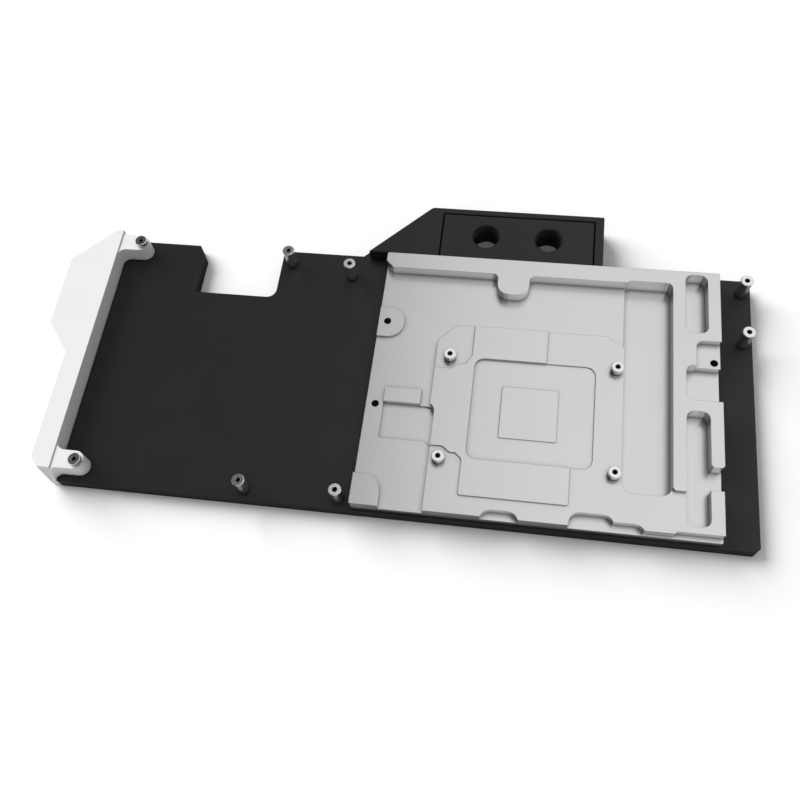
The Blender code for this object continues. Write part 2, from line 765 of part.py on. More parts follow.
def mill(plate, name, loops, floor, cutters):
    cut(plate, flat_solid(name, loops, floor, PLATE_TOP + OVERSHOOT, cutters))


def make_cold_plate(parts, cutters):
    outline = rectangle(PLATE_LEFT, PLATE_RIGHT, PLATE_FRONT, PLATE_BACK, 0.0006)
    plate = flat_solid("cold_plate", [outline], PLATE_BOTTOM, PLATE_TOP, parts)
    right = PLATE_RIGHT + OVERSHOOT
    left = PLATE_LEFT - OVERSHOOT

    small_pad = rectangle(SMALL_PAD_LEFT, SMALL_PAD_RIGHT, SMALL_PAD_FRONT, SMALL_PAD_BACK)
    mill(plate, "low_area", [low_area(), small_pad], PLATE_LOW, cutters)
    mill(plate, "memory_level", [main_area()], PLATE_MAIN + MEMORY_STEP, cutters)
    mill(plate, "main_level", [main_area(), memory_area()], PLATE_MAIN, cutters)

    recess = rectangle(RECESS_LEFT, RECESS_RIGHT, RECESS_FRONT, RECESS_BACK, RECESS_RADIUS)
    contact = rectangle(-CHIP_CONTACT_X / 2, CHIP_CONTACT_X / 2, -CHIP_CONTACT_Y / 2,
                        CHIP_CONTACT_Y / 2, CHIP_CONTACT_RADIUS)
    recess_floor = PLATE_MAIN - CHIP_RECESS_DEPTH
    mill(plate, "chip_recess", [recess, contact], recess_floor, cutters)
    zone_x = CHIP_CONTACT_X / 2 + ZONE_MARGIN
    zone_y = CHIP_CONTACT_Y / 2 + ZONE_MARGIN
    contact_zone = rectangle(-zone_x, zone_x, -zone_y, zone_y)
    mill(plate, "chip_contact", [contact_zone], recess_floor + CHIP_CONTACT_STEP, cutters)

    left_zone = rectangle(left, PLATE_LEFT + PAD_WIDTH + ZONE_MARGIN, LEFT_PAD_FRONT - ZONE_MARGIN,
                          LEFT_PAD_BACK + ZONE_MARGIN)
    mill(plate, "left_pad_level", [left_zone], PLATE_LOW + LEFT_PAD_STEP, cutters)
    small_zone = rectangle(SMALL_PAD_LEFT - ZONE_MARGIN, SMALL_PAD_RIGHT + ZONE_MARGIN,
                           SMALL_PAD_FRONT - ZONE_MARGIN, SMALL_PAD_BACK + ZONE_MARGIN)
    mill(plate, "small_pad_level", [small_zone], PLATE_LOW + SMALL_PAD_STEP, cutters)
    mill(plate, "left_pocket", [left_pocket()], PLATE_LOW - LEFT_POCKET_DEPTH, cutters)

    deep = rounded([
        (DEEP_LEFT, DEEP_FRONT, DEEP_RADIUS),
        (DEEP_RIGHT, DEEP_FRONT, DEEP_RADIUS),
        (DEEP_RIGHT, DEEP_BACK, DEEP_BACK_RADIUS),
        (DEEP_LEFT, DEEP_BACK, DEEP_BACK_RADIUS),
    ])
    mill(plate, "deep_pocket", [deep], PLATE_BOTTOM + DEEP_FLOOR, cutters)
    slot_level = PLATE_BOTTOM + SLOT_FLOOR
    back_slot = rectangle(SLOT_LEFT, SLOT_RIGHT, BACK_SLOT_FRONT, BACK_SLOT_BACK, SLOT_RADIUS)
    mill(plate, "back_slot", [back_slot], slot_level, cutters)
    front_slot = rectangle(SLOT_LEFT, SLOT_RIGHT, FRONT_SLOT_FRONT, FRONT_SLOT_BACK, SLOT_RADIUS)
    mill(plate, "front_slot", [front_slot], slot_level, cutters)
    in_slot = (SLOT_LEFT + SLOT_RIGHT) / 2
    door = rounded([
        (in_slot, SIDE_DOOR_FRONT),
        (right, SIDE_DOOR_FRONT),
        (right, SIDE_DOOR_BACK + BAR_CORNER),
        (PLATE_RIGHT, SIDE_DOOR_BACK + BAR_CORNER),
        (PLATE_RIGHT - BAR_CORNER, SIDE_DOOR_BACK),
        (SLOT_RIGHT + BAR_CORNER, SIDE_DOOR_BACK),
        (SLOT_RIGHT, SIDE_DOOR_BACK + BAR_CORNER),
        (in_slot, SIDE_DOOR_BACK + BAR_CORNER),
    ])
    mill(plate, "side_door", [door], slot_level, cutters)
    hole_pad = rounded([
        (RIGHT_PAD_LEFT, SIDE_POCKET_FRONT + SLOT_RADIUS),
        (right, SIDE_POCKET_FRONT + SLOT_RADIUS),
        (right, RIGHT_PAD_BACK),
        (RIGHT_PAD_LEFT, RIGHT_PAD_BACK, SLOT_RADIUS),
    ])
    mill(plate, "hole_pad", [hole_pad], PLATE_BOTTOM + RIGHT_PAD_HEIGHT, cutters)
    side_pocket = rounded([
        (SLOT_LEFT, SIDE_POCKET_FRONT, SLOT_RADIUS),
        (right, SIDE_POCKET_FRONT),
        (right, RIGHT_PAD_FRONT),
        (RIGHT_PAD_LEFT, RIGHT_PAD_FRONT),
        (RIGHT_PAD_LEFT, SIDE_POCKET_BACK),
        (SLOT_LEFT, SIDE_POCKET_BACK, SLOT_RADIUS),
    ])
    mill(plate, "side_pocket", [side_pocket], slot_level, cutters)

    scallop = front_notch(SCALLOP_LEFT, SCALLOP_LEFT + SCALLOP_WIDTH, SCALLOP_DEPTH, SCALLOP_RADIUS)
    mill(plate, "front_scallop", [scallop], PLATE_LOW, cutters)
    deep_notch = front_notch(LEDGE_LEFT, LEDGE_DEEP_END, LEDGE_DEEP, LEDGE_DEEP_RADIUS)
    mill(plate, "deep_notch", [deep_notch], PLATE_LOW, cutters)
    middle_notch = front_notch(LEDGE_LEFT + LEDGE_DEEP_RADIUS, LEDGE_MIDDLE_END, LEDGE_MIDDLE,
                               LEDGE_DEEP_RADIUS)
    mill(plate, "middle_notch", [middle_notch], PLATE_LOW, cutters)
    mill(plate, "front_ledge", [front_ledge()], PLATE_LOW, cutters)

    slot_box = bmesh.new()
    for index in range(FIN_SLOTS):
        x = (index - (FIN_SLOTS - 1) / 2) * FIN_PITCH
        place = Matrix.Translation((x, 0.0, 0.0)) @ Matrix.Diagonal(
            (FIN_SLOT_WIDTH, FIN_LENGTH, 2 * FIN_SLOT_DEPTH, 1.0))
        bmesh.ops.create_cube(slot_box, size=1.0, matrix=place)
    mesh = bpy.data.meshes.new("fin_slots")
    slot_box.to_mesh(mesh)
    slot_box.free()
    fins = bpy.data.objects.new("fin_slots", mesh)
    fins.location.z = PLATE_BOTTOM
    cutters.objects.link(fins)
    cut(plate, fins)

    screw_hole = cylinder("plate_screw_hole", SCREW_RADIUS + SEAT_GAP, PLATE_BOTTOM - OVERSHOOT,
                          PLATE_BOTTOM + SCREW_GRIP + SEAT_GAP, cutters)
    hide_cutter(screw_hole)
    for index, (x, y) in enumerate(plate_screws()):
        cut(plate, copy_at(screw_hole, f"plate_screw_hole_{index + 1}", x, y, cutters))
    stud_hole = cylinder("plate_stud_hole", STUD_RADIUS + SEAT_GAP, PLATE_MAIN - STUD_LENGTH,
                         PLATE_TOP + OVERSHOOT, cutters)
    hide_cutter(stud_hole)
    for index, (x, y) in enumerate(chip_holes()):
        cut(plate, copy_at(stud_hole, f"plate_stud_hole_{index + 1}", x, y, cutters))
    card_hole = cylinder("card_hole", CARD_HOLE_RADIUS, PLATE_BOTTOM - OVERSHOOT,
                         PLATE_TOP + OVERSHOOT, cutters)
    hide_cutter(card_hole)
    for index, (x, y) in enumerate(card_holes()):
        cut(plate, copy_at(card_hole, f"card_hole_{index + 1}", x, y, cutters))
    return plate


# Coolant pieces between body and cold plate

def make_jet_plate(parts):
    half_x = CHAMBER_X / 2 - SEAT_GAP
    half_y = CHAMBER_Y / 2 - SEAT_GAP
    sheet = rectangle(-half_x, half_x, -half_y, half_y, CHAMBER_RADIUS)
    slot = rectangle(-JET_SLOT_X / 2, JET_SLOT_X / 2, -JET_SLOT_Y / 2, JET_SLOT_Y / 2, 0.0010)
    bottom = BODY_THICKNESS - JET_SEAT_DEPTH + SEAT_GAP
    return flat_solid("jet_plate", [sheet, slot], bottom, bottom + JET_THICKNESS, parts)


def make_gasket(parts):
    return flat_solid("main_gasket", gasket_loops(0.0), BODY_THICKNESS - GASKET_HEIGHT,
                      BODY_THICKNESS, parts)


def make_port_seals(parts):
    seals = []
    level = BODY_THICKNESS - SEAL_CORD / 2
    for index, (x, y) in enumerate(port_centres()):
        bpy.ops.mesh.primitive_torus_add(location=(x, y, level), major_radius=SEAL_RADIUS,
                                         minor_radius=SEAL_CORD / 2, major_segments=24,
                                         minor_segments=6)
        seal = bpy.context.object
        seal.name = f"port_seal_{index + 1}"
        for group in list(seal.users_collection):
            group.objects.unlink(seal)
        parts.objects.link(seal)
        shade_round(seal)
        seals.append(seal)
    return seals


# Terminal

def make_terminal(parts, cutters):
    back = TERMINAL_FRONT + TERMINAL_DEPTH
    outline = rectangle(TERMINAL_LEFT, TERMINAL_RIGHT, TERMINAL_FRONT, back)
    block = flat_solid("terminal_block", [outline], TERMINAL_BOTTOM, TERMINAL_TOP, parts)
    soften(block)
    mouth = PORT_MOUTH / 2
    bore = PORT_BORE / 2
    top = TERMINAL_TOP + OVERSHOOT
    shoulder = TERMINAL_TOP - (mouth - bore)
    bottom = TERMINAL_BOTTOM - OVERSHOOT
    profile = [(0.0, top), (mouth, top), (mouth, TERMINAL_TOP), (bore, shoulder), (bore, bottom),
               (0.0, bottom)]
    port = bake(turned("port", profile, cutters, BORE_SIDES))
    hide_cutter(port)
    for index, (x, y) in enumerate(port_centres()):
        cut(block, copy_at(port, f"port_{index + 1}", x, y, cutters))
    hole = cylinder("terminal_hole", SCREW_RADIUS + SEAT_GAP, TERMINAL_BOTTOM - OVERSHOOT,
                    TERMINAL_BOTTOM + SCREW_GRIP + SEAT_GAP, cutters)
    hide_cutter(hole)
    for index, (x, y) in enumerate(terminal_screws()):
        cut(block, copy_at(hole, f"terminal_hole_{index + 1}", x, y, cutters))

    inner_left = TERMINAL_LEFT - SHROUD_GAP
    inner_right = TERMINAL_RIGHT + SHROUD_GAP
    inner_back = back + SHROUD_GAP
    wing_depth = SHROUD_BACK - TERMINAL_FRONT - WING_TIP
    frame = rounded([
        (SHROUD_LEFT, TERMINAL_FRONT),
        (inner_left, TERMINAL_FRONT),
        (inner_left, inner_back),
        (inner_right, inner_back),
        (inner_right, TERMINAL_FRONT),
        (SHROUD_RIGHT, TERMINAL_FRONT, 0.0010),
        (SHROUD_RIGHT, SHROUD_BACK, 0.0008),
        (SHROUD_LEFT + wing_depth + 2 * WING_TIP, SHROUD_BACK),
        (SHROUD_LEFT + wing_depth, SHROUD_BACK - WING_TIP),
    ])
    shroud = flat_solid("terminal_shroud", [frame], TERMINAL_BOTTOM, TERMINAL_TOP, parts)
    soften(shroud)
    for index, (x, y) in enumerate(shroud_screws()):
        cut(shroud, copy_at(hole, f"shroud_hole_{index + 1}", x, y, cutters))
    return block, shroud


# End cover

def make_cover(parts, cutters):
    outer_wide = COVER_INNER - COVER_WIDE
    outer_narrow = COVER_INNER - COVER_NARROW
    chamfer = COVER_WIDE - COVER_BACK_FLAT
    outline = rounded([
        (COVER_INNER, BODY_FRONT),
        (COVER_INNER, BODY_BACK),
        (COVER_INNER - COVER_BACK_FLAT, BODY_BACK, 0.0008),
        (outer_wide, BODY_BACK - chamfer, COVER_RADIUS),
        (outer_wide, COVER_WIDE_FRONT, COVER_RADIUS),
        (outer_narrow, COVER_NARROW_BACK, COVER_RADIUS),
        (outer_narrow, BODY_FRONT + COVER_FRONT_CHAMFER, COVER_RADIUS),
        (COVER_INNER - COVER_FRONT_FLAT, BODY_FRONT),
    ])
    cover = flat_solid("end_cover", [outline], 0.0, COVER_HEIGHT, parts)
    tab_bottom = BODY_THICKNESS + SEAT_GAP
    wall = COVER_INNER - COVER_FRONT_FLAT / 2
    for index, (x, y) in enumerate(cover_standoffs()):
        front = y + TAB_SHIFT - TAB_WIDTH / 2
        back = y + TAB_SHIFT + TAB_WIDTH / 2
        front_foot = max(BODY_FRONT, front - TAB_FILLET / FREE_SIDE)
        back_foot = min(BODY_BACK, back + TAB_FILLET / FREE_SIDE)
        tab = rounded([
            (wall, front_foot),
            (COVER_INNER, front_foot),
            (COVER_INNER, front, TAB_FILLET),
            (x + TAB_REACH, front, TAB_WIDTH / 2),
            (x + TAB_REACH, back, TAB_WIDTH / 2),
            (COVER_INNER, back, TAB_FILLET),
            (COVER_INNER, back_foot),
            (wall, back_foot),
        ])
        combine(cover, flat_solid(f"tab_{index + 1}", [tab], tab_bottom, TAB_TOP, cutters), "UNION")
        hole = cylinder(f"tab_hole_{index + 1}", STUD_RADIUS + SEAT_GAP, tab_bottom - OVERSHOOT,
                        COVER_HEIGHT + OVERSHOOT, cutters)
        hole.location.xy = (x, y)
        cut(cover, hole)
    slope = flat_solid("cover_slope", [[
        (BODY_FRONT - OVERSHOOT, BODY_THICKNESS),
        (BODY_FRONT, BODY_THICKNESS),
        (BODY_FRONT + COVER_FRONT_SLOPE, COVER_HEIGHT),
        (BODY_FRONT + COVER_FRONT_SLOPE, COVER_HEIGHT + OVERSHOOT),
        (BODY_FRONT - OVERSHOOT, COVER_HEIGHT + OVERSHOOT),
    ]], outer_wide - OVERSHOOT, BODY_LEFT + OVERSHOOT, cutters)
    slope.matrix_world = Matrix(((0, 0, 1, 0), (1, 0, 0, 0), (0, 1, 0, 0), (0, 0, 0, 1))) @ slope.matrix_world
    cut(cover, slope)
    for index, (x, y) in enumerate(cover_screws()):
        hole = cylinder(f"cover_hole_{index + 1}", SCREW_RADIUS + SEAT_GAP, tab_bottom - SEAT_GAP / 2,
                        tab_bottom + SCREW_GRIP + SEAT_GAP, cutters)
        hole.location.xy = (x, y)
        cut(cover, hole)
    return cover


# Standoffs and screws

def standoff_profile(top, foot, tip):
    """Profile of a standoff whose shoulder rests at foot and whose stud ends at tip."""
    neck = top - STANDOFF_RING - (STANDOFF_RADIUS - STANDOFF_NECK)
    return [
        (0.0, top - STANDOFF_HOLE_DEPTH),
        (STANDOFF_HOLE, top - STANDOFF_HOLE_DEPTH),
        (STANDOFF_HOLE, top),
        (STANDOFF_RADIUS - STANDOFF_RIM, top),
        (STANDOFF_RADIUS, top - STANDOFF_RIM),
        (STANDOFF_RADIUS, top - STANDOFF_RING),
        (STANDOFF_NECK, neck),
        (STANDOFF_NECK, foot),
        (STUD_RADIUS, foot),
        (STUD_RADIUS, tip),
        (0.0, tip),
    ]


def make_standoffs(parts, cutters):
    collar_top = TAB_TOP + SEAT_GAP + COVER_COLLAR
    kinds = [
        ("short_standoff", CARD_LEVEL, PLATE_MAIN, PLATE_MAIN, list(chip_holes())),
        ("tall_standoff", CARD_LEVEL, BODY_THICKNESS, BODY_THICKNESS, tall_standoffs()),
        ("cover_standoff", collar_top, TAB_TOP, BODY_THICKNESS, cover_standoffs()),
    ]
    standoffs = []
    for name, top, seat, screwed_into, places in kinds:
        profile = standoff_profile(top, seat + SEAT_GAP, screwed_into + SEAT_GAP - STUD_LENGTH)
        pattern = bake(turned(name + "_pattern", profile, cutters))
        shade_round(pattern)
        hide_cutter(pattern)
        for index, (x, y) in enumerate(places):
            standoffs.append(copy_at(pattern, f"{name}_{index + 1}", x, y, parts))
    return standoffs


def make_screws(parts, cutters):
    seat = SCREW_SINK + SCREW_HEAD_HEIGHT
    tip = BODY_THICKNESS + SEAT_GAP + SCREW_GRIP
    profile = [(0.0, tip), (SCREW_RADIUS, tip), (SCREW_RADIUS, seat), (SCREW_HEAD_RADIUS, seat),
               (SCREW_HEAD_RADIUS, SCREW_SINK), (0.0, SCREW_SINK)]
    pattern = turned("screw_pattern", profile, cutters)
    socket = cylinder("screw_socket", SOCKET_RADIUS, SCREW_SINK - SOCKET_DEPTH,
                      SCREW_SINK + SOCKET_DEPTH, cutters, 6)
    cut(pattern, socket)
    bake(pattern)
    shade_round(pattern)
    hide_cutter(pattern)
    kinds = [
        ("plate_screw", plate_screws()),
        ("terminal_screw", list(terminal_screws())),
        ("shroud_screw", shroud_screws()),
        ("cover_screw", cover_screws()),
    ]
    screws = []
    for name, places in kinds:
        for index, (x, y) in enumerate(places):
            screws.append(copy_at(pattern, f"{name}_{index + 1}", x, y, parts))
    return screws


def main():
    clear_scene()
    parts = new_collection("water_block")
    cutters = new_collection("cutters", hidden=True)
    acetal = new_material("black_acetal", (0.022, 0.022, 0.023), 0.45, 0.0)
    nickel = new_material("nickel_plate", (0.66, 0.66, 0.66), 0.32, 1.0)
    steel = new_material("bright_steel", (0.62, 0.62, 0.63), 0.25, 1.0)
    white = new_material("white_cover", (0.86, 0.86, 0.86), 0.40, 0.0)
    rubber = new_material("seal_rubber", (0.02, 0.02, 0.02), 0.80, 0.0)

    block, shroud = make_terminal(parts, cutters)
    slots = [
        (acetal, [make_body(parts, cutters), block, shroud]),
        (nickel, [make_cold_plate(parts, cutters)]),
        (white, [make_cover(parts, cutters)]),
        (rubber, [make_gasket(parts), *make_port_seals(parts)]),
        (steel, [make_jet_plate(parts), *make_standoffs(parts, cutters),
                 *make_screws(parts, cutters)]),
    ]
    for material, solids in slots:
        for solid in solids:
            solid.data.materials.clear()
            solid.data.materials.append(material)


main()
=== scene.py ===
# %% [markdown]
# A water block for a graphics card, lying on its back on a pale table.
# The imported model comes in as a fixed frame: a black plate, a milled nickel
# plate on it, the two-port terminal at the back edge, a white end cover and
# the standoffs that hold a card. Its shapes are right already, so this lesson
# gives them their finishes, cuts the fine threads and sets up the studio.

# %% Load the frame
import math

import bpy
from mathutils import Matrix, Vector


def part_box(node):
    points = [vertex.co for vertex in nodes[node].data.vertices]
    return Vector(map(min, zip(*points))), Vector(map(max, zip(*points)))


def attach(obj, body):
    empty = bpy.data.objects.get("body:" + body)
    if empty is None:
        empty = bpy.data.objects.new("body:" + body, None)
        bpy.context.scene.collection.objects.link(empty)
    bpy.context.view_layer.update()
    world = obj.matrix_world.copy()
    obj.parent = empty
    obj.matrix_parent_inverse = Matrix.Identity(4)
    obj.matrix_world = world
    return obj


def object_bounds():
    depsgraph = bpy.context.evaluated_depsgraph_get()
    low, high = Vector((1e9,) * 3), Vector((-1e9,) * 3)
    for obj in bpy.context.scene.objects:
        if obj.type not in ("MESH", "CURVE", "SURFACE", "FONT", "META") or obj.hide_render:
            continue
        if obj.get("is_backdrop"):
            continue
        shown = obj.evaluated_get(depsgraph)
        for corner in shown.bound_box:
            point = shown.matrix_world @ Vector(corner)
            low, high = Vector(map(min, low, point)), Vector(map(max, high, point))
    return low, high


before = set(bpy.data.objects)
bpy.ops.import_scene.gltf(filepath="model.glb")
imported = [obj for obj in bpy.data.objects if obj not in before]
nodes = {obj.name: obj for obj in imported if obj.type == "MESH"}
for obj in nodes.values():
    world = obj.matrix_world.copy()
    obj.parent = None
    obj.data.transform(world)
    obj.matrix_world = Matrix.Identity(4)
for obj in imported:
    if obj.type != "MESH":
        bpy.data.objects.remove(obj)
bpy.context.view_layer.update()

# %% [markdown]
# The photograph was taken from above and a little to the front, close to the
# block, so lines that run away from us draw together. The camera's place comes
# from the edges of the plate, and is written here as the three axes of the
# camera and the point where it stands.

# %% Camera
CAMERA_PLACE = (-0.00849, -0.14958, 0.340)
CAMERA_RIGHT = (0.98867991, 0.12969191, -0.07544569)
CAMERA_UP = (-0.08545089, 0.90003035, 0.42736812)
CAMERA_BACK = (0.1233296, -0.41608337, 0.90092421)
LENS_MM = 39.26
SENSOR_MM = 36.0
CLIP_START = 0.01

camera_data = bpy.data.cameras.new("camera")
camera_data.lens = LENS_MM
camera_data.sensor_width = SENSOR_MM
camera_data.clip_start = CLIP_START
camera = bpy.data.objects.new("camera", camera_data)
axes = Matrix((CAMERA_RIGHT, CAMERA_UP, CAMERA_BACK)).transposed()
camera.matrix_world = Matrix.Translation(CAMERA_PLACE) @ axes.to_4x4()
bpy.context.scene.collection.objects.link(camera)
bpy.context.scene.camera = camera
bpy.context.scene.view_settings.view_transform = "Standard"
print("camera looks along", [round(-v, 2) for v in CAMERA_BACK])

# %% [markdown]
# A few small helpers keep the later cells short. add_node adds a node to a
# tree and sets its inputs by name, and link joins an output to an input. The
# others put together the few nodes that come up again and again.

# %% Helpers for node trees
def add_node(tree, kind, settings=None, **inputs):
    node = tree.nodes.new(kind)
    for name, value in (settings or {}).items():
        setattr(node, name, value)
    for name, value in inputs.items():
        node.inputs[name.replace("_", " ")].default_value = value
    return node


def link(tree, output, target):
    tree.links.new(output, target)


def new_material(name):
    material = bpy.data.materials.new(name)
    material.use_nodes = True
    material.node_tree.nodes.clear()
    return material, material.node_tree


def joined(tree, operation, first, second):
    """The result of a Math node on two outputs."""
    step = add_node(tree, "ShaderNodeMath", {"operation": operation})
    link(tree, first, step.inputs[0])
    link(tree, second, step.inputs[1])
    return step.outputs["Value"]


def mapped(tree, value, settings=None, **limits):
    """The result of a Map Range node on one output."""
    step = add_node(tree, "ShaderNodeMapRange", settings, **limits)
    link(tree, value, step.inputs["Value"])
    return step.outputs["Result"]


def mixed(tree, factor, first, second):
    """The first shader where the factor is 0, and the second where it is 1."""
    step = add_node(tree, "ShaderNodeMixShader")
    link(tree, factor, step.inputs[0])
    link(tree, first, step.inputs[1])
    link(tree, second, step.inputs[2])
    return step.outputs[0]


def by_ray(tree, lighting, mirrored, seen):
    """One shader to light things, one for reflections and glass, one for the camera."""
    ray = add_node(tree, "ShaderNodeLightPath").outputs
    shown = joined(tree, "MAXIMUM", ray["Is Glossy Ray"], ray["Is Transmission Ray"])
    return mixed(tree, ray["Is Camera Ray"], mixed(tree, shown, lighting, mirrored), seen)

# %% [markdown]
# The studio is a soft white dome. The camera sees it plain white, and what it
# gives to matt surfaces is the same all round. Metal and gloss show whatever
# stands around them, so they get a room of their own: bright overhead, dimmer
# near the table and at the front, with a narrow black flag hung high on the
# left and one pale screen low on the right. The flag is what makes the walls
# of the milled steps dark, and the screen draws a bright streak down each
# standoff. Each start and end below is the X, Y or Z of a direction.

# %% Dome of light
WHITE = (1.0, 1.0, 1.0, 1.0)
DOME_LIGHT = 0.41
ROOM_HIGH = 0.86
ROOM_LOW = 0.30
ROOM_LOW_END = 0.0
ROOM_HIGH_START = 0.93
ROOM_FRONT = 0.85
ROOM_FRONT_START = -0.60
ROOM_FRONT_END = 0.20
FLAG = 0.05
FLAG_START = -0.25
FLAG_END = -0.14
FAR_LEFT = 0.70
FAR_LEFT_START = -0.70
FAR_LEFT_END = -0.45
SCREEN = 0.60
SCREEN_START = 0.78
SCREEN_END = 0.95

world = bpy.data.worlds.new("studio")
world.use_nodes = True
world.cycles.sampling_method = "NONE"
bpy.context.scene.world = world
sky = world.node_tree
sky.nodes.clear()
where = add_node(sky, "ShaderNodeTexCoord")
direction = add_node(sky, "ShaderNodeSeparateXYZ")
link(sky, where.outputs["Generated"], direction.inputs["Vector"])


def ramp_along(axis, start, end, low, high):
    """A smooth ramp of the direction's X, Y or Z."""
    return mapped(sky, direction.outputs[axis], {"interpolation_type": "SMOOTHSTEP"},
                  From_Min=start, From_Max=end, To_Min=low, To_Max=high)


rise = ramp_along("Z", ROOM_LOW_END, ROOM_HIGH_START, ROOM_LOW, ROOM_HIGH)
flag = ramp_along("X", FLAG_START, FLAG_END, FLAG, 1.0)
far_left = ramp_along("X", FAR_LEFT_START, FAR_LEFT_END, FAR_LEFT, 0.0)
side = joined(sky, "MAXIMUM", flag, far_left)
depth = ramp_along("Y", ROOM_FRONT_START, ROOM_FRONT_END, ROOM_FRONT, 1.0)
screen = ramp_along("X", SCREEN_START, SCREEN_END, 0.0, SCREEN)
walls = joined(sky, "MULTIPLY", joined(sky, "MULTIPLY", rise, side), depth)
room = add_node(sky, "ShaderNodeBackground", Color=WHITE)
link(sky, joined(sky, "ADD", walls, screen), room.inputs["Strength"])
dome = add_node(sky, "ShaderNodeBackground", Color=WHITE, Strength=DOME_LIGHT)
white = add_node(sky, "ShaderNodeBackground", Color=WHITE, Strength=1.0)
out = add_node(sky, "ShaderNodeOutputWorld")
link(sky, by_ray(sky, dome.outputs[0], room.outputs[0], white.outputs[0]),
     out.inputs["Surface"])
print("room seen in metal from", ROOM_LOW, "to", ROOM_HIGH)

# %% [markdown]
# One very wide lamp stands far behind the block to the left. It throws the
# soft shadow that falls to the front and the right. A sun lamp lights the
# whole table evenly, and its angle is what makes the shadow soft. It is kept
# out of reflections, so that it leaves no hot spot on the nickel.

# %% Lamp
LAMP_FROM = (-0.86, 0.54, 0.66)
LAMP_ANGLE = math.radians(50)
LAMP_STRENGTH = 3.60

lamp_data = bpy.data.lights.new("softbox", "SUN")
lamp_data.angle = LAMP_ANGLE
lamp_data.energy = LAMP_STRENGTH
lamp = bpy.data.objects.new("softbox", lamp_data)
lamp.location = LAMP_FROM
lamp.rotation_euler = (-Vector(LAMP_FROM)).to_track_quat("-Z", "Y").to_euler()
lamp.visible_glossy = False
bpy.context.scene.collection.objects.link(lamp)
print("lamp of strength", LAMP_STRENGTH)

# %% [markdown]
# The table is a wide pale sheet. Its own colour is what lights the sides of
# the block. To the eye it is a brighter white, so that the open table is
# white while the shadow close to the block stays grey. In metal and gloss it
# is a duller grey, a painted shade that keeps its reflection in the block dim.

# %% Table
FLOOR_REACH = 3.0
FLOOR_COLOUR = (0.80, 0.80, 0.80, 1.0)
# Painted shade: the table's colour in reflections only, darker than its real colour.
FLOOR_MIRRORED_SHADE = (0.34, 0.34, 0.34, 1.0)
FLOOR_SEEN = (1.01, 1.01, 1.01, 1.0)

floor_mesh = bpy.data.meshes.new("floor")
corners = [(-1, -1), (1, -1), (1, 1), (-1, 1)]
points = [(FLOOR_REACH * x, FLOOR_REACH * y, 0.0) for x, y in corners]
floor_mesh.from_pydata(points, [], [(0, 1, 2, 3)])
floor = bpy.data.objects.new("floor", floor_mesh)
bpy.context.scene.collection.objects.link(floor)

floor_finish, tree = new_material("table_white")
paints = [add_node(tree, "ShaderNodeBsdfDiffuse", Color=colour).outputs[0]
          for colour in (FLOOR_COLOUR, FLOOR_MIRRORED_SHADE, FLOOR_SEEN)]
out = add_node(tree, "ShaderNodeOutputMaterial")
link(tree, by_ray(tree, *paints), out.inputs["Surface"])
floor_mesh.materials.append(floor_finish)
floor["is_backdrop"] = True
print("table", 2 * FLOOR_REACH, "m wide")

# %% [markdown]
# All finishes of the block share one recipe. A broad noise varies the colour a
# little, and a fine one varies the roughness and raises a faint bump, so that
# no face is one flat colour. The Bevel node rounds the normals at the edges,
# which is what catches the light on machined parts. Two Ambient Occlusion
# nodes find the inner corners and paint shade into the base colour there: a
# wide one for a soft painted shade at the foot of a wall, and a narrow one for
# a fine painted dark line along each small step.

# %% Recipe for a finish
MOTTLE_DETAIL = 3.0
GRAIN_DETAIL = 2.0
BUMP_DEPTH = 0.0001
EDGE_SAMPLES = 6
CORNER_SAMPLES = 8
FOOT_DEEP = 0.25
FOOT_OPEN = 0.95
NARROW_SHADE_PART = 0.25
NARROW_SHADE = 0.40
# the Mix node's sockets for two colours and their mix
COLOUR_A, COLOUR_B, COLOUR_MIX = 6, 7, 2


def corner_shade(tree, reach, shade):
    """A painted-shade factor that falls from 1 on open faces to 1 - shade in inner
    corners.
    """
    corner = add_node(tree, "ShaderNodeAmbientOcclusion", {"samples": CORNER_SAMPLES},
                      Distance=reach)
    return mapped(tree, corner.outputs["AO"], From_Min=FOOT_DEEP, From_Max=FOOT_OPEN,
                  To_Min=1.0 - shade, To_Max=1.0)


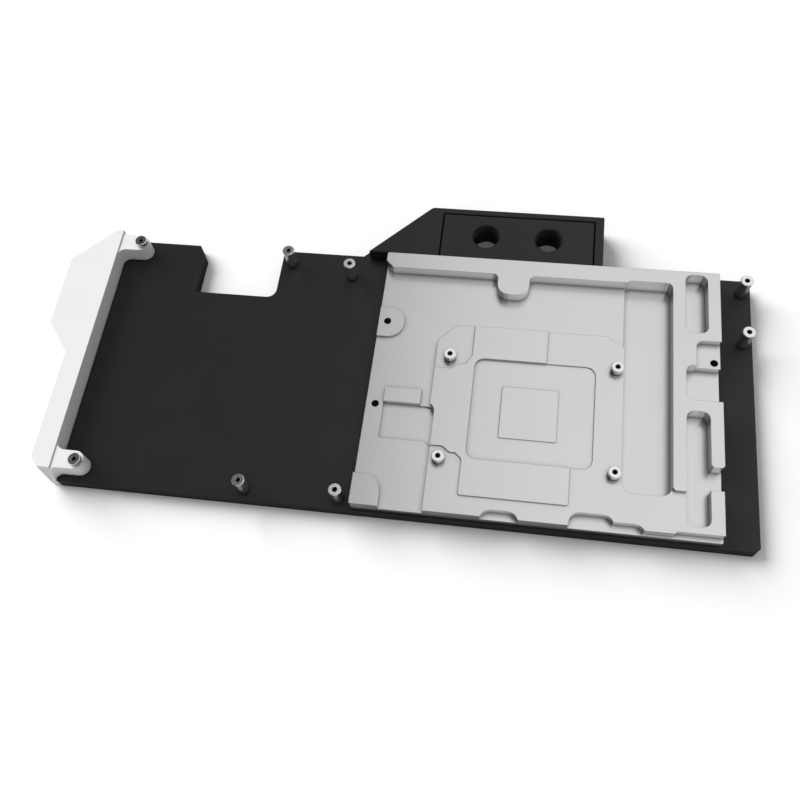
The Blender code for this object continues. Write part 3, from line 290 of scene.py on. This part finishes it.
def make_finish(name, colour, metal, roughness, shine, grain, mottle, colour_swing,
                roughness_swing, bump, edge, foot_reach, foot_shade):
    material, tree = new_material(name)
    place = add_node(tree, "ShaderNodeTexCoord").outputs["Object"]
    shader = add_node(tree, "ShaderNodeBsdfPrincipled", Metallic=metal,
                      Specular_IOR_Level=shine)
    cloud = add_node(tree, "ShaderNodeTexNoise", Scale=mottle, Detail=MOTTLE_DETAIL)
    fine = add_node(tree, "ShaderNodeTexNoise", Scale=grain, Detail=GRAIN_DETAIL)
    link(tree, place, cloud.inputs["Vector"])
    link(tree, place, fine.inputs["Vector"])
    tint = add_node(tree, "ShaderNodeMix", {"data_type": "RGBA"})
    for socket, swing in ((COLOUR_A, -colour_swing), (COLOUR_B, colour_swing)):
        varied = [min(1.0, c * (1.0 + swing)) for c in colour]
        tint.inputs[socket].default_value = (*varied, 1.0)
    link(tree, cloud.outputs["Fac"], tint.inputs[0])
    # Painted shade: the colour is darkened in inner corners, widely at the foot of walls
    # and narrowly along small steps.
    corners = joined(tree, "MULTIPLY", corner_shade(tree, foot_reach, foot_shade),
                     corner_shade(tree, NARROW_SHADE_PART * foot_reach, NARROW_SHADE))
    shaded = add_node(tree, "ShaderNodeVectorMath", {"operation": "SCALE"})
    link(tree, tint.outputs[COLOUR_MIX], shaded.inputs[0])
    link(tree, corners, shaded.inputs["Scale"])
    link(tree, shaded.outputs[0], shader.inputs["Base Color"])
    gloss = mapped(tree, fine.outputs["Fac"], To_Min=roughness - roughness_swing,
                   To_Max=roughness + roughness_swing)
    link(tree, gloss, shader.inputs["Roughness"])
    rounded = add_node(tree, "ShaderNodeBevel", {"samples": EDGE_SAMPLES}, Radius=edge)
    relief = add_node(tree, "ShaderNodeBump", Strength=bump, Distance=BUMP_DEPTH)
    link(tree, fine.outputs["Fac"], relief.inputs["Height"])
    link(tree, rounded.outputs["Normal"], relief.inputs["Normal"])
    link(tree, relief.outputs["Normal"], shader.inputs["Normal"])
    out = add_node(tree, "ShaderNodeOutputMaterial")
    link(tree, shader.outputs[0], out.inputs["Surface"])
    print(name, "is ready")
    return material

# %% [markdown]
# The black plate and the terminal are machined acetal: a dense plastic with a
# matt skin that is never quite black, with cutter grain finer than a hair.
# Painted shade darkens it near walls and inside the port bores.

# %% Black acetal
black_acetal = make_finish("black_acetal", (0.013, 0.013, 0.0135),
                           metal=0.0, roughness=0.48, shine=0.39,
                           grain=2600.0, mottle=60.0, colour_swing=0.12,
                           roughness_swing=0.05, bump=0.10, edge=0.0002,
                           foot_reach=0.006, foot_shade=0.60)

# %% [markdown]
# The cold plate is copper under nickel, blasted with fine beads before it is
# plated. It shines softly, with no mirror in it, and each milled step shows as
# a thin line, dark or bright by the way it faces, with painted shade darkening
# the foot of each step.

# %% Nickel plate
nickel_plate = make_finish("nickel_plate", (0.79, 0.79, 0.785),
                           metal=1.0, roughness=0.29, shine=0.5,
                           grain=3200.0, mottle=45.0, colour_swing=0.02,
                           roughness_swing=0.04, bump=0.12, edge=0.0003,
                           foot_reach=0.0026, foot_shade=0.62)

# %% [markdown]
# The end cover is moulded in white plastic with a satin skin. It lies smooth,
# with a faint waviness that only shows in the light along its edges.

# %% White cover
white_cover = make_finish("white_cover", (0.86, 0.86, 0.86),
                          metal=0.0, roughness=0.42, shine=0.45,
                          grain=900.0, mottle=40.0, colour_swing=0.01,
                          roughness_swing=0.03, bump=0.06, edge=0.0003,
                          foot_reach=0.003, foot_shade=0.15)

# %% [markdown]
# Standoffs and screws are turned from nickel-plated brass and steel. They are
# smoother than the plate, so they show sharper lights and darks, and strong
# painted shade darkens the standoffs' shafts near the plate and inside their holes.

# %% Bright steel
bright_steel = make_finish("bright_steel", (0.93, 0.93, 0.92),
                           metal=1.0, roughness=0.20, shine=0.5,
                           grain=5200.0, mottle=220.0, colour_swing=0.03,
                           roughness_swing=0.05, bump=0.08, edge=0.0002,
                           foot_reach=0.004, foot_shade=0.95)

# %% [markdown]
# The gasket and the port seals are black rubber cord with a dusty bloom.

# %% Seal rubber
seal_rubber = make_finish("seal_rubber", (0.016, 0.016, 0.017),
                          metal=0.0, roughness=0.72, shine=0.30,
                          grain=1800.0, mottle=300.0, colour_swing=0.20,
                          roughness_swing=0.06, bump=0.20, edge=0.0001,
                          foot_reach=0.001, foot_shade=0.50)

# %% [markdown]
# Every node of the frame now gets its finish. The node's name says what the
# piece is, so a short list of beginnings is enough to sort them.

# %% Dress the frame
FINISH_BY_NAME = (
    ("body_plate", black_acetal), ("terminal", black_acetal),
    ("cold_plate", nickel_plate), ("jet_plate", bright_steel),
    ("end_cover", white_cover), ("main_gasket", seal_rubber),
    ("port_seal", seal_rubber),
)


def finish_for(name):
    if "screw" in name or "standoff" in name:
        return bright_steel
    for start, finish in FINISH_BY_NAME:
        if name.startswith(start):
            return finish
    raise ValueError("no finish for " + name)


for name, node in nodes.items():
    for slot in node.material_slots:
        slot.material = finish_for(name)
print("dressed", len(nodes), "nodes")

# %% [markdown]
# A thread is the same ridge going round and round, so Geometry Nodes make it:
# a spiral with a thin square bar swept along it, set at each hole's place. The
# bar is half sunk in the wall of the bore that the frame already has, so a
# ridge with a sharp crest stands out.

# %% Node tree for a thread
STEPS_PER_TURN = 24
RIDGE_SIDES = 4


def thread_tree(name, finish):
    tree = bpy.data.node_groups.new(name, "GeometryNodeTree")
    interface = tree.interface
    interface.new_socket("Places", in_out="INPUT", socket_type="NodeSocketGeometry")
    sockets = {}
    for label in ("Radius", "Pitch", "Turns", "Ridge"):
        socket = interface.new_socket(label, in_out="INPUT", socket_type="NodeSocketFloat")
        sockets[label] = socket.identifier
    interface.new_socket("Geometry", in_out="OUTPUT", socket_type="NodeSocketGeometry")
    given = add_node(tree, "NodeGroupInput").outputs
    spiral = add_node(tree, "GeometryNodeCurveSpiral", Resolution=STEPS_PER_TURN)
    link(tree, given["Turns"], spiral.inputs["Rotations"])
    link(tree, given["Radius"], spiral.inputs["Start Radius"])
    link(tree, given["Radius"], spiral.inputs["End Radius"])
    length = joined(tree, "MULTIPLY", given["Pitch"], given["Turns"])
    link(tree, length, spiral.inputs["Height"])
    ridge = add_node(tree, "GeometryNodeCurvePrimitiveCircle", Resolution=RIDGE_SIDES)
    link(tree, given["Ridge"], ridge.inputs["Radius"])
    sweep = add_node(tree, "GeometryNodeCurveToMesh", Fill_Caps=True)
    link(tree, spiral.outputs[0], sweep.inputs["Curve"])
    link(tree, ridge.outputs[0], sweep.inputs["Profile Curve"])
    spread = add_node(tree, "GeometryNodeInstanceOnPoints")
    link(tree, given["Places"], spread.inputs["Points"])
    link(tree, sweep.outputs[0], spread.inputs["Instance"])
    real = add_node(tree, "GeometryNodeRealizeInstances")
    link(tree, spread.outputs[0], real.inputs[0])
    coat = add_node(tree, "GeometryNodeSetMaterial", Material=finish)
    link(tree, real.outputs[0], coat.inputs["Geometry"])
    out = add_node(tree, "NodeGroupOutput")
    link(tree, coat.outputs[0], out.inputs["Geometry"])
    return tree, sockets


def cut_threads(name, finish, places, sizes):
    tree, sockets = thread_tree(name + "_nodes", finish)
    seed_mesh = bpy.data.meshes.new(name + "_places")
    seed_mesh.from_pydata(places, [], [])
    seed = bpy.data.objects.new(name + "_places", seed_mesh)
    bpy.context.scene.collection.objects.link(seed)
    modifier = seed.modifiers.new("thread", "NODES")
    modifier.node_group = tree
    for label, value in sizes.items():
        modifier[sockets[label]] = value
    graph = bpy.context.evaluated_depsgraph_get()
    mesh = bpy.data.meshes.new_from_object(seed.evaluated_get(graph), depsgraph=graph)
    bpy.data.objects.remove(seed)
    piece = bpy.data.objects.new(name, mesh)
    bpy.context.scene.collection.objects.link(piece)
    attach(piece, "root")
    print(name, "has", len(mesh.polygons), "faces in", len(places), "holes")

# %% [markdown]
# The two ports of the terminal take the common quarter-inch pipe thread of
# liquid cooling: nineteen turns to the inch, from the foot of the block up to
# just under the mouth.

# %% Port threads
INCH = 0.0254
TURNS_PER_INCH = 19
PORT_LEFT_X = -0.0250
PORT_SPACING = 0.0281
PORT_Y = 0.0869
PORT_WALL = 0.0059
PORT_PITCH = INCH / TURNS_PER_INCH
PORT_TURNS = 3.4
PORT_RIDGE = 0.00042
PORT_LEAD = 0.0003

port_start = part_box("terminal_block")[0].z + PORT_LEAD
port_places = [(PORT_LEFT_X, PORT_Y, port_start),
               (PORT_LEFT_X + PORT_SPACING, PORT_Y, port_start)]
cut_threads("port_threads", black_acetal, port_places,
            {"Radius": PORT_WALL, "Pitch": PORT_PITCH,
             "Turns": PORT_TURNS, "Ridge": PORT_RIDGE})

# %% [markdown]
# Each standoff has a small hole with a metric thread for the screw that comes
# through the card. The places are read from the boxes of the nodes.

# %% Standoff threads
HOLE_WALL = 0.0011
HOLE_PITCH = 0.00045
HOLE_TURNS = 5.0
HOLE_RIDGE = 0.00013
HOLE_LEAD = 0.0004

hole_places = []
for name in sorted(nodes):
    if "standoff" in name:
        low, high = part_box(name)
        middle = (low + high) / 2
        start = high.z - HOLE_LEAD - HOLE_PITCH * HOLE_TURNS
        hole_places.append((middle.x, middle.y, start))
cut_threads("standoff_threads", bright_steel, hole_places,
            {"Radius": HOLE_WALL, "Pitch": HOLE_PITCH,
             "Turns": HOLE_TURNS, "Ridge": HOLE_RIDGE})

# %% [markdown]
# Last, the box of the dressed model is measured.

# %% Measure and finish
low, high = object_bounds()
